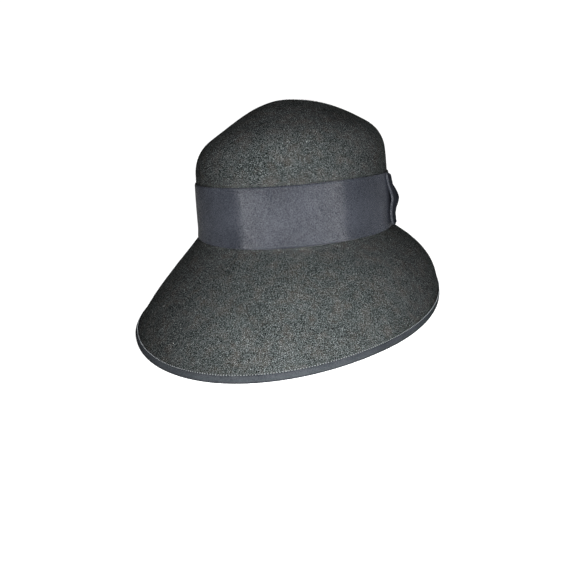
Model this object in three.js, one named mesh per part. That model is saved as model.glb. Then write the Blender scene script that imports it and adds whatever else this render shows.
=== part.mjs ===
// A cloche hat: one blocked shell of wool felt, with a round crown that rises to a soft peak and a brim that
// slopes down all round, long in front and short behind. A wide ribbed ribbon goes round the foot of the crown
// and carries a flat bow on the wearer's left, and a narrow one is folded over the brim's edge.
//
// Lengths are in millimetres and angles in degrees. The hat is shaped upright, as on its head block: +X is the
// wearer's left, -Y the front, +Z up, and z = 0 is the break, where the crown meets the brim. At the end it is
// leant back until its whole rim lies on the floor.
import * as THREE from "three";

// The head and the felt
const HEAD_WIDTH = 163;
const HEAD_LENGTH = 190;
const FELT_THICKNESS = 2.2;

// The crown
const CROWN_HEIGHT = 113;
const SHOULDER_HEIGHT = 80;
const SHOULDER_LEAN = 5;
const SHOULDER_ROUNDING = 17;
const TIP_SLOPE = 31;
const BREAK_ROUNDING = 5;
const BREAK_RISE = 6;

// The brim, out from the crown's foot and down from the break
const BRIM_FRONT = 83;
const BRIM_SIDE = 43;
const BRIM_BACK = 30;
const DROP_FRONT = 74;
const DROP_BACK = 42.5;

// The ribbons
const BAND_WIDTH = 47;
const RIBBON_THICKNESS = 1;
const RIBBON_GAP = 0.3;
const BINDING_WIDTH = 2.6;

// The bow
const BOW_ANGLE = 112;
const BOW_HALF_LENGTH = 36;
const BOW_WAIST = 25;
const BOW_FULLNESS = 4.2;
const BOW_NOTCH = 3;
const KNOT_LENGTH = 13;
const KNOT_HEIGHT = 27;
const KNOT_RISE = 8.5;
const KNOT_OFFSET = -2;

// Facets
const COLUMNS = 60;
const TIP_STEPS = 7;
const SHOULDER_STEPS = 4;
const WALL_STEPS = 3;
const BREAK_STEPS = 4;
const BRIM_STEPS = 6;
const BINDING_STEPS = 2;

// The crown's shoulder by direction, turned from the front towards the wearer's left.
// height and lean are shares of SHOULDER_HEIGHT and SHOULDER_LEAN.
const CROWN_SECTIONS = [
  { angle: 0, height: 1.0, lean: 1.0 },
  { angle: 60, height: 1.02, lean: 0.9 },
  { angle: 110, height: 1.03, lean: 0.7 },
  { angle: 180, height: 1.02, lean: 1.0 },
  { angle: 240, height: 0.98, lean: 1.0 },
  { angle: 290, height: 0.92, lean: 0.7 },
];

// The brim by direction. front, side and back are shares of the three brim widths, and rise is how far the break
// lies above z = 0, a share of BREAK_RISE. foot and lip are the brim's slopes below level at the break and at its
// edge.
const BRIM_SECTIONS = [
  { angle: 0, front: 1, side: 0, back: 0, rise: 0, foot: 34, lip: 56 },
  { angle: 40, front: 0.59, side: 0.41, back: 0, rise: 0, foot: 34, lip: 60 },
  { angle: 90, front: 0, side: 1, back: 0, rise: -0.1, foot: 31, lip: 94 },
  { angle: 135, front: 0, side: 0.3, back: 0.75, rise: 0.2, foot: 34, lip: 92 },
  { angle: 180, front: 0, side: 0, back: 1, rise: 0.4, foot: 40, lip: 78 },
  { angle: 225, front: 0, side: 0.25, back: 0.75, rise: 0.7, foot: 44, lip: 70 },
  { angle: 270, front: 0, side: 1, back: 0, rise: 1, foot: 48, lip: 60 },
  { angle: 320, front: 0.6, side: 0.4, back: 0, rise: 0.4, foot: 44, lip: 58 },
];

const radians = THREE.MathUtils.degToRad;
const crownHalfWidth = HEAD_WIDTH / 2 + FELT_THICKNESS;
const crownHalfLength = HEAD_LENGTH / 2 + FELT_THICKNESS;
const bindingRadius = FELT_THICKNESS / 2 + RIBBON_GAP + RIBBON_THICKNESS;
const bindingFlat = 22;

// A table's column at any angle: a smooth closed curve through its rows.
function around(table, column, angle) {
  const turned = THREE.MathUtils.euclideanModulo(angle, 360);
  const count = table.length;
  let after = table.findIndex((row) => row.angle > turned);
  if (after < 0) after = count;
  const rows = [-2, -1, 0, 1].map((step) => {
    const index = after + step;
    const row = table[THREE.MathUtils.euclideanModulo(index, count)];
    return { at: row.angle + 360 * Math.floor(index / count), value: row[column] };
  });
  const [before, start, end, beyond] = rows;
  const span = end.at - start.at;
  const t = (turned - start.at) / span;
  const startSlope = ((end.value - before.value) / (end.at - before.at)) * span;
  const endSlope = ((beyond.value - start.value) / (beyond.at - start.at)) * span;
  return (
    start.value * (2 * t ** 3 - 3 * t ** 2 + 1) +
    startSlope * (t ** 3 - 2 * t ** 2 + t) +
    end.value * (3 * t ** 2 - 2 * t ** 3) +
    endSlope * (t ** 3 - t ** 2)
  );
}

// The crown's plan is an oval: its outside radius at the break in one direction.
function ovalRadius(angle) {
  const across = Math.sin(radians(angle)) / crownHalfWidth;
  const along = Math.cos(radians(angle)) / crownHalfLength;
  return 1 / Math.hypot(across, along);
}

function brimWidth(angle) {
  return (
    around(BRIM_SECTIONS, "front", angle) * BRIM_FRONT +
    around(BRIM_SECTIONS, "side", angle) * BRIM_SIDE +
    around(BRIM_SECTIONS, "back", angle) * BRIM_BACK
  );
}

// The rim lies in one plane, which drops from DROP_BACK behind to DROP_FRONT in front.
const frontReach = crownHalfLength + BRIM_FRONT;
const backReach = crownHalfLength + BRIM_BACK;
const rimSlope = (DROP_FRONT - DROP_BACK) / (frontReach + backReach);

function rimPlaneHeight(y) {
  return -DROP_FRONT + rimSlope * (y + frontReach);
}

function slopeDirection(below) {
  return new THREE.Vector2(Math.cos(radians(below)), -Math.sin(radians(below)));
}

function moved(point, direction, distance) {
  return point.clone().addScaledVector(direction, distance);
}

// The felt's outside in one direction, as points of radius and height from the tip's centre to the rim.
// Each column has the same rows, and feltRows says which row is which.
const feltRows = {};
feltRows.wallTop = TIP_STEPS + SHOULDER_STEPS;
feltRows.bandTop = feltRows.wallTop + 1;
feltRows.bandBottom = feltRows.bandTop + WALL_STEPS + BREAK_STEPS / 2;
feltRows.bindingTop = feltRows.bandTop + WALL_STEPS + BREAK_STEPS + BRIM_STEPS;
feltRows.rim = feltRows.bindingTop + BINDING_STEPS;

function feltProfile(angle) {
  const foot = ovalRadius(angle);
  const shoulderHeight = SHOULDER_HEIGHT * around(CROWN_SECTIONS, "height", angle);
  const lean = SHOULDER_LEAN * around(CROWN_SECTIONS, "lean", angle);
  const footSlope = slopeDirection(around(BRIM_SECTIONS, "foot", angle));
  const lipSlope = slopeDirection(around(BRIM_SECTIONS, "lip", angle));
  const tipSlope = slopeDirection(TIP_SLOPE);

  const rise = BREAK_RISE * around(BRIM_SECTIONS, "rise", angle);

  // The wall leans in more and more towards the shoulder.
  const wall = (height) => {
    const share = height / shoulderHeight;
    return new THREE.Vector2(foot - lean * (0.35 * share + 0.65 * share ** 3), height);
  };
  const corner = wall(shoulderHeight);
  const wallTop = wall(shoulderHeight - SHOULDER_ROUNDING);
  const tipEdge = moved(corner, tipSlope, -SHOULDER_ROUNDING);
  const peak = new THREE.Vector2(0, CROWN_HEIGHT);
  const tip = new THREE.CubicBezierCurve(
    peak,
    new THREE.Vector2(0.36 * tipEdge.x, CROWN_HEIGHT),
    moved(tipEdge, tipSlope, -0.42 * tipEdge.x),
    tipEdge,
  );
  const shoulder = new THREE.QuadraticBezierCurve(tipEdge, corner, wallTop);

  const breakPoint = wall(rise);
  const breakTop = wall(rise + BREAK_ROUNDING);
  const brimStart = moved(breakPoint, footSlope, BREAK_ROUNDING);
  const breakCurve = new THREE.QuadraticBezierCurve(breakTop, breakPoint, brimStart);

  // The felt's edge is round, and sits inside the binding, which stands on the rim's plane.
  const edgeRadius = foot + brimWidth(angle) - bindingRadius;
  const edgeHeight =
    rimPlaneHeight(-edgeRadius * Math.cos(radians(angle))) +
    bindingRadius * Math.cos(radians(bindingFlat));
  const lipNormal = new THREE.Vector2(-lipSlope.y, lipSlope.x);
  const brimEnd = moved(new THREE.Vector2(edgeRadius, edgeHeight), lipNormal, FELT_THICKNESS / 2);
  const reach = brimEnd.distanceTo(brimStart);
  const brim = new THREE.CubicBezierCurve(
    brimStart,
    moved(brimStart, footSlope, 0.36 * reach),
    moved(brimEnd, lipSlope, -0.36 * reach),
    brimEnd,
  );
  const brimLength = brim.getLength();

  const points = [];
  for (let i = 0; i <= TIP_STEPS; i++) points.push(tip.getPoint(i / TIP_STEPS));
  for (let i = 1; i <= SHOULDER_STEPS; i++) points.push(shoulder.getPoint(i / SHOULDER_STEPS));
  for (let i = 0; i < WALL_STEPS; i++) {
    points.push(wall(THREE.MathUtils.lerp(BAND_WIDTH + rise / 2, breakTop.y, i / WALL_STEPS)));
  }
  for (let i = 0; i <= BREAK_STEPS; i++) points.push(breakCurve.getPoint(i / BREAK_STEPS));
  for (let i = 1; i <= BRIM_STEPS; i++) {
    points.push(brim.getPointAt(((i / BRIM_STEPS) * (brimLength - BINDING_WIDTH)) / brimLength));
  }
  for (let i = 1; i <= BINDING_STEPS; i++) {
    const left = BINDING_WIDTH * (1 - i / BINDING_STEPS);
    points.push(brim.getPointAt(1 - left / brimLength));
  }
  return points;
}

function placed(point, angle) {
  return new THREE.Vector3(
    point.x * Math.sin(radians(angle)),
    -point.x * Math.cos(radians(angle)),
    point.y,
  );
}

// The felt's outside as a grid of points, with the outward normal and the downward direction at each.
const columnAngles = Array.from({ length: COLUMNS }, (_, i) => (360 * i) / COLUMNS);
const outside = transposed(
  columnAngles.map((angle) => feltProfile(angle).map((point) => placed(point, angle))),
);

function transposed(columns) {
  return columns[0].map((_, row) => columns.map((column) => column[row]));
}

const downward = outside.map((ring, row) =>
  ring.map((_, i) => {
    const above = outside[Math.max(row - 1, 0)][i];
    const below = outside[Math.min(row + 1, outside.length - 1)][i];
    return below.clone().sub(above).normalize();
  }),
);

const outward = outside.map((ring, row) =>
  ring.map((_, i) => {
    if (row === 0) return new THREE.Vector3(0, 0, 1);
    const right = ring[(i + 1) % COLUMNS].clone().sub(ring[(i + COLUMNS - 1) % COLUMNS]);
    return downward[row][i].clone().cross(right).normalize();
  }),
);

// One ring of the felt's outside, moved out by a distance.
function offsetRing(row, distance) {
  return outside[row].map((point, i) => point.clone().addScaledVector(outward[row][i], distance));
}

function offsetRings(firstRow, lastRow, distance) {
  const step = Math.sign(lastRow - firstRow);
  const count = Math.abs(lastRow - firstRow) + 1;
  return Array.from({ length: count }, (_, i) => offsetRing(firstRow + step * i, distance));
}

// Rings about the felt's edge, from its outer face round to its inner one.
function edgeRings(radius, turns) {
  return turns.map((turn) =>
    outside[feltRows.rim].map((point, i) => {
      const normal = outward[feltRows.rim][i];
      const tangent = downward[feltRows.rim][i];
      const centre = point.clone().addScaledVector(normal, -FELT_THICKNESS / 2);
      return centre
        .addScaledVector(normal, radius * Math.cos(radians(turn)))
        .addScaledVector(tangent, radius * Math.sin(radians(turn)));
    }),
  );
}

// The binding's outer skin round the felt's edge, with a flat on the rim's plane where the hat stands.
function bindingEdgeRings() {
  const floorNormal = new THREE.Vector3(0, -rimSlope, 1).normalize();
  const floorPoint = new THREE.Vector3(0, 0, rimPlaneHeight(0));
  const rings = [[], [], [], []];
  outside[feltRows.rim].forEach((point, i) => {
    const normal = outward[feltRows.rim][i];
    const tangent = downward[feltRows.rim][i];
    const centre = point.clone().addScaledVector(normal, -FELT_THICKNESS / 2);
    const lowest = THREE.MathUtils.radToDeg(
      Math.atan2(-tangent.dot(floorNormal), -normal.dot(floorNormal)),
    );
    const firstFlat = lowest - bindingFlat;
    [firstFlat / 3, (firstFlat * 2) / 3, firstFlat, lowest + bindingFlat].forEach((turn, ring) => {
      const onSkin = centre
        .clone()
        .addScaledVector(normal, bindingRadius * Math.cos(radians(turn)))
        .addScaledVector(tangent, bindingRadius * Math.sin(radians(turn)));
      const isFlat = ring >= 2;
      const height = onSkin.clone().sub(floorPoint).dot(floorNormal);
      rings[ring].push(isFlat ? onSkin.addScaledVector(floorNormal, -height) : onSkin);
    });
  });
  return rings;
}

// Joins rings of equal length into one closed surface. Rings run down the outside of a wall and up its inside,
// with their points turned from the front towards the wearer's left. Poles close the two ends; without them
// the last ring joins the first.
function geometryFromRings(rings, poles = null) {
  const size = rings[0].length;
  const points = rings.flat();
  const triangles = [];
  const bands = poles ? rings.length - 1 : rings.length;
  for (let ring = 0; ring < bands; ring++) {
    const next = (ring + 1) % rings.length;
    for (let i = 0; i < size; i++) {
      const j = (i + 1) % size;
      const [a, b, c, d] = [ring * size + i, next * size + i, next * size + j, ring * size + j];
      triangles.push(a, b, c, a, c, d);
    }
  }
  if (poles) {
    const [first, last] = [points.length, points.length + 1];
    points.push(poles[0], poles[1]);
    const end = (rings.length - 1) * size;
    for (let i = 0; i < size; i++) {
      const j = (i + 1) % size;
      triangles.push(first, i, j, last, end + j, end + i);
    }
  }
  return geometryFrom(points, triangles);
}

function geometryFrom(points, triangles) {
  const geometry = new THREE.BufferGeometry().setFromPoints(points);
  geometry.setIndex(triangles);
  geometry.computeVertexNormals();
  return geometry;
}

function feltGeometry() {
  const top = outside[0][0];
  const rings = [
    ...offsetRings(1, feltRows.rim, 0),
    ...edgeRings(FELT_THICKNESS / 2, [60, 120]),
    ...offsetRings(feltRows.rim, 1, -FELT_THICKNESS),
  ];
  const under = top.clone().setZ(top.z - FELT_THICKNESS);
  return geometryFromRings(rings, [top, under]);
}

function bandGeometry() {
  return geometryFromRings([
    ...offsetRings(feltRows.bandTop, feltRows.bandBottom, RIBBON_GAP + RIBBON_THICKNESS),
    ...offsetRings(feltRows.bandBottom, feltRows.bandTop, RIBBON_GAP),
  ]);
}

function bindingGeometry() {
  const { bindingTop, rim } = feltRows;
  const inside = -FELT_THICKNESS;
  return geometryFromRings([
    ...offsetRings(bindingTop, rim, RIBBON_GAP + RIBBON_THICKNESS),
    ...bindingEdgeRings(),
    ...offsetRings(rim, bindingTop, inside - RIBBON_GAP - RIBBON_THICKNESS),
    ...offsetRings(bindingTop, rim, inside - RIBBON_GAP),
    ...edgeRings(FELT_THICKNESS / 2 + RIBBON_GAP, [135, 90, 45]),
    ...offsetRings(rim, bindingTop, RIBBON_GAP),
  ]);
}

// A point over the band: along it from the bow's middle towards the front, up from its lower edge, and out from
// its surface.
const bowRadius = ovalRadius(BOW_ANGLE);

function overBand(along, up, out) {
  const angle = BOW_ANGLE - THREE.MathUtils.radToDeg(along / bowRadius);
  const turn = 1;
  const [here, behind, ahead] = [0, -turn, turn].map((step) => bandLine(angle + step, up));
  const right = ahead.point.clone().sub(behind.point);
  const normal = here.down.clone().cross(right).normalize();
  return here.point.addScaledVector(normal, RIBBON_GAP + RIBBON_THICKNESS + out);
}

// A point on the felt under the band, at a height above the band's lower edge, and the way down from it.
function bandLine(angle, up) {
  const rows = feltProfile(angle)
    .slice(feltRows.bandTop, feltRows.bandBottom + 1)
    .map((point) => placed(point, angle))
    .reverse();
  const share = (up / BAND_WIDTH) * (rows[rows.length - 1].z - rows[0].z) + rows[0].z;
  const found = rows.findIndex((row) => row.z > share);
  const index = found < 0 ? rows.length - 1 : Math.max(found, 1);
  const [low, high] = [rows[index - 1], rows[index]];
  const point = low.clone().lerp(high, (share - low.z) / (high.z - low.z));
  return { point, down: low.clone().sub(high).normalize() };
}

// One loop of the bow: the ribbon leaves the knot close to the band, folds over at the loop's end and comes back
// on top, gathered to BOW_WAIST at the knot. side is 1 towards the front and -1 towards the back.
function loopGeometry(side) {
  const pathSteps = 16;
  const widthSteps = 8;
  const start = KNOT_LENGTH / 2 + RIBBON_GAP;
  const half = RIBBON_THICKNESS / 2;
  const low = RIBBON_GAP + half;
  const fold = BOW_FULLNESS / 2;
  const straight = BOW_HALF_LENGTH - half - fold - start;
  const path = [];
  const legSteps = (pathSteps - 4) / 2;
  for (let i = 0; i < legSteps; i++) path.push({ along: start + (straight * i) / legSteps, turn: 0 });
  for (let i = 0; i <= 4; i++) path.push({ along: start + straight, turn: 45 * i });
  for (let i = legSteps - 1; i >= 0; i--) {
    path.push({ along: start + (straight * i) / legSteps, turn: 180 });
  }

  const station = ({ along, turn }, across, outerFace) => {
    const gather = 1 - (along - start) / straight;
    const halfWidth = THREE.MathUtils.lerp(BAND_WIDTH, BOW_WAIST, gather ** 1.6) / 2;
    const flattened = 0.5 * Math.max(across, 0) ** 1.5;
    const puff = fold * (1 - 0.35 * gather) * (1 - flattened);
    const ridge = 1.6 * gather * Math.cos(Math.PI * across) * (turn / 180);
    const layer = outerFace ? half : -half;
    const radius = puff + layer;
    const out = low + puff - radius * Math.cos(radians(turn)) + Math.max(ridge, -0.4);
    const waist = BOW_NOTCH * (1 - gather) * Math.cos((Math.PI / 2) * across) ** 2;
    const reach = along - waist + radius * Math.sin(radians(turn));
    return overBand(side * reach, BAND_WIDTH / 2 + halfWidth * across, out);
  };
  const face = (outerFace) =>
    path.map((place) =>
      Array.from({ length: widthSteps + 1 }, (_, j) =>
        station(place, (2 * j) / widthSteps - 1, outerFace),
      ),
    );
  return sheetGeometry(face(true), face(false), side < 0);
}

// Closes two grids of points, the two faces of a bent ribbon, into one solid.
function sheetGeometry(front, back, flipped) {
  const rows = front.length;
  const columns = front[0].length;
  const points = [...front.flat(), ...back.flat()];
  const behind = rows * columns;
  const at = (row, column) => row * columns + column;
  const triangles = [];
  const quad = (a, b, c, d) => {
    triangles.push(...(flipped ? [a, c, b, a, d, c] : [a, b, c, a, c, d]));
  };
  for (let i = 0; i < rows - 1; i++) {
    for (let j = 0; j < columns - 1; j++) {
      const [a, b, c, d] = [at(i, j), at(i + 1, j), at(i + 1, j + 1), at(i, j + 1)];
      quad(a, b, c, d);
      quad(behind + a, behind + d, behind + c, behind + b);
    }
  }
  for (let i = 0; i < rows - 1; i++) {
    const [a, b] = [at(i, 0), at(i + 1, 0)];
    quad(a, behind + a, behind + b, b);
    const [c, d] = [at(i, columns - 1), at(i + 1, columns - 1)];
    quad(d, behind + d, behind + c, c);
  }
  for (let j = 0; j < columns - 1; j++) {
    const [a, b] = [at(0, j), at(0, j + 1)];
    quad(b, behind + b, behind + a, a);
    const [c, d] = [at(rows - 1, j), at(rows - 1, j + 1)];
    quad(c, behind + c, behind + d, d);
  }
  return geometryFrom(points, triangles);
}

// The knot: a short piece of ribbon wrapped round the bow's waist, as a pad with rounded ends.
function knotGeometry() {
  const levels = 8;
  const corners = 12;
  const rings = [];
  for (let level = 0; level <= levels; level++) {
    const share = 1 - (2 * level) / levels;
    const swell = 1 - Math.abs(share) ** 1.5;
    const ring = [];
    for (let corner = 0; corner < corners; corner++) {
      const turn = (2 * Math.PI * corner) / corners;
      const along = (KNOT_LENGTH / 2) * (0.82 + 0.18 * swell) * squared(Math.cos(turn));
      const deep = (KNOT_RISE - RIBBON_GAP) * (0.35 + 0.65 * swell);
      const out = RIBBON_GAP + (deep * (1 + squared(Math.sin(turn)))) / 2;
      const up = BAND_WIDTH / 2 + KNOT_OFFSET + (KNOT_HEIGHT / 2) * share;
      ring.push(overBand(along, up, out));
    }
    rings.push(ring);
  }
  const middle = (ring) => {
    const sum = ring.reduce((total, point) => total.add(point), new THREE.Vector3());
    return sum.divideScalar(ring.length);
  };
  return geometryFromRings(rings, [middle(rings[0]), middle(rings[levels])]);
}

// Pushes a sine or cosine out towards a rounded square.
function squared(value) {
  return Math.sign(value) * Math.abs(value) ** 0.6;
}

const felt = new THREE.MeshStandardMaterial({ color: 0x2b2e2c, roughness: 0.95, metalness: 0 });
const ribbon = new THREE.MeshStandardMaterial({ color: 0x2a2c36, roughness: 0.6, metalness: 0 });

function piece(name, geometry, material) {
  const mesh = new THREE.Mesh(geometry, material);
  mesh.name = name;
  return mesh;
}

const hat = new THREE.Group();
hat.add(
  piece("felt_body", feltGeometry(), felt),
  piece("crown_band", bandGeometry(), ribbon),
  piece("brim_binding", bindingGeometry(), ribbon),
  piece("bow_front_loop", loopGeometry(1), ribbon),
  piece("bow_back_loop", loopGeometry(-1), ribbon),
  piece("bow_knot", knotGeometry(), ribbon),
);

// The hat leans back until its rim is level, and is then centred over the origin with its rim on the floor.
hat.rotation.x = -Math.atan(rimSlope);
hat.updateMatrixWorld(true);
const box = new THREE.Box3().setFromObject(hat, true);
const centre = box.getCenter(new THREE.Vector3());
hat.position.set(-centre.x, -centre.y, -box.min.z);

export default hat;
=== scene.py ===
"""A felt cloche hat with a ribbed band, a side bow and a bound brim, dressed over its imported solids.

The hat is shaped upright in millimetres, as on its head block: +X is the wearer's left, -Y the front,
+Z up, and z = 0 is the break between crown and brim. HatBlock.placed() leans it back on to its rim, in
metres.
"""

from __future__ import annotations

import logging
import math
from dataclasses import dataclass, field
from enum import Enum, IntEnum
from typing import NamedTuple

import bpy
import numpy as np
from bpy.types import ID, Material, Mesh, Node, NodeSocket, Object
from mathutils import Matrix, Vector, noise

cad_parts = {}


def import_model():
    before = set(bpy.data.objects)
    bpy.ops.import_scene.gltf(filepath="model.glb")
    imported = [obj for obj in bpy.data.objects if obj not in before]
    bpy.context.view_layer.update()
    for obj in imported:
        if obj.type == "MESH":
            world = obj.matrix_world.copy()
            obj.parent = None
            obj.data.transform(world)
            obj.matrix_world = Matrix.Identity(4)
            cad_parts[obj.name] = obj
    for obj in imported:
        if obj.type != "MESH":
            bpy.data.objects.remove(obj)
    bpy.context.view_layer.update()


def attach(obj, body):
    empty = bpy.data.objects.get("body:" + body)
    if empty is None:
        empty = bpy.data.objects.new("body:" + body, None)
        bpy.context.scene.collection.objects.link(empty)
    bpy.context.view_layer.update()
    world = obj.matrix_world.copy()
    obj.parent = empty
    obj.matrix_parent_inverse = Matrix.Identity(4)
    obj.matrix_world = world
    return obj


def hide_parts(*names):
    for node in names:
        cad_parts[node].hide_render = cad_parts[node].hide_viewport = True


log = logging.getLogger("cloche_hat")

BODY = "root"
MILLIMETRE = 0.001

Colour = tuple[float, float, float]
Place = tuple[float, float, float]
Stops = tuple[float, float]


class Slot(Enum):
    """The record's two material slots."""

    FELT = "felt"
    RIBBON = "ribbon"


class Side(Enum):
    """The way a bow loop points along the band."""

    FRONT = 1
    BACK = -1


class Level(IntEnum):
    """Where the landmarks lie among a section's samples, from the crown's peak down to the brim's edge."""

    TIP_EDGE = 40
    WALL_TOP = 54
    BAND_TOP = 64
    BREAK_TOP = 94
    BAND_FOOT = 100
    BREAK_END = 106
    BINDING_TOP = 176
    RIM = 192


@dataclass
class Skin:
    """A grid of points on the felt's outside, with the outward normal and the way down at each.

    Each array is levels by directions by 3, in block millimetres.
    """

    points: np.ndarray
    normals: np.ndarray
    down: np.ndarray

    def raised(self, height: float | np.ndarray) -> np.ndarray:
        """The points moved outwards by a height in millimetres, one number or one a point."""
        return self.points + self.normals * np.asarray(height, float)[..., None]


class Run(NamedTuple):
    """A run of rows down the felt: where it starts, the level that it stops before, and its step."""

    start: float
    stop: float
    step: float


class Spot(NamedTuple):
    """A place on the felt, as a direction in degrees and a level."""

    angle: float
    level: float


class Grain(NamedTuple):
    """A layer of noise: features a metre, octaves above the first, and how strong the finer ones are."""

    scale: float
    detail: float
    roughness: float


class ShoulderRow(NamedTuple):
    """The crown in one direction, in degrees: its shares of the shoulder's height and lean."""

    angle: float
    height: float
    lean: float


class BrimRow(NamedTuple):
    """The brim in one direction: its shares of the three widths and the rise, and two slopes in degrees."""

    angle: float
    front: float
    side: float
    back: float
    rise: float
    foot: float
    lip: float


def unit(vectors: np.ndarray) -> np.ndarray:
    """Scales vectors, whose last axis is x, y, z, to length 1 and leaves zero vectors at zero."""
    length = np.linalg.norm(vectors, axis=-1, keepdims=True)
    return vectors / np.maximum(length, 1e-12)


def smooth_step(share: np.ndarray) -> np.ndarray:
    """Eases a share from 0 to 1 at both ends."""
    return share**2 * (3 - 2 * share)


def bezier(controls: list[np.ndarray], steps: int) -> np.ndarray:
    """Samples one Bezier curve a direction.

    Args:
        controls: the control points, each an array of directions by 2.
        steps: how many equal steps of the parameter to take.

    Returns:
        Points as directions by steps + 1 by 2.
    """
    t = np.linspace(0.0, 1.0, steps + 1)[None, :, None]
    degree = len(controls) - 1
    total = np.zeros((len(controls[0]), steps + 1, 2))
    for i, point in enumerate(controls):
        share = math.comb(degree, i) * (1 - t) ** (degree - i) * t**i
        total += share * point[:, None, :]
    return total


def table_curve(rows: tuple[NamedTuple, ...], column: str, angle: np.ndarray) -> np.ndarray:
    """Reads a smooth closed curve through one column of a table.

    Args:
        rows: the table, by rising angle.
        column: the column's name.
        angle: the angles to read at, in degrees.

    Returns:
        The value at each angle.
    """
    at = np.array([row.angle for row in rows], float)
    value = np.array([getattr(row, column) for row in rows], float)
    count = len(rows)
    turned = np.mod(angle, 360.0)
    after = np.searchsorted(at, turned, side="right")

    def entry(index: np.ndarray) -> tuple[np.ndarray, np.ndarray]:
        """The angle and value of a row, counted on past either end of the table."""
        return at[index % count] + 360.0 * (index // count), value[index % count]

    before_at, before = entry(after - 2)
    start_at, start = entry(after - 1)
    end_at, end = entry(after)
    beyond_at, beyond = entry(after + 1)
    span = end_at - start_at
    t = (turned - start_at) / span
    start_slope = (end - before) / (end_at - before_at) * span
    end_slope = (beyond - start) / (beyond_at - start_at) * span
    return (
        start * (2 * t**3 - 3 * t**2 + 1)
        + start_slope * (t**3 - 2 * t**2 + t)
        + end * (3 * t**2 - 2 * t**3)
        + end_slope * (t**3 - t**2)
    )


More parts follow.
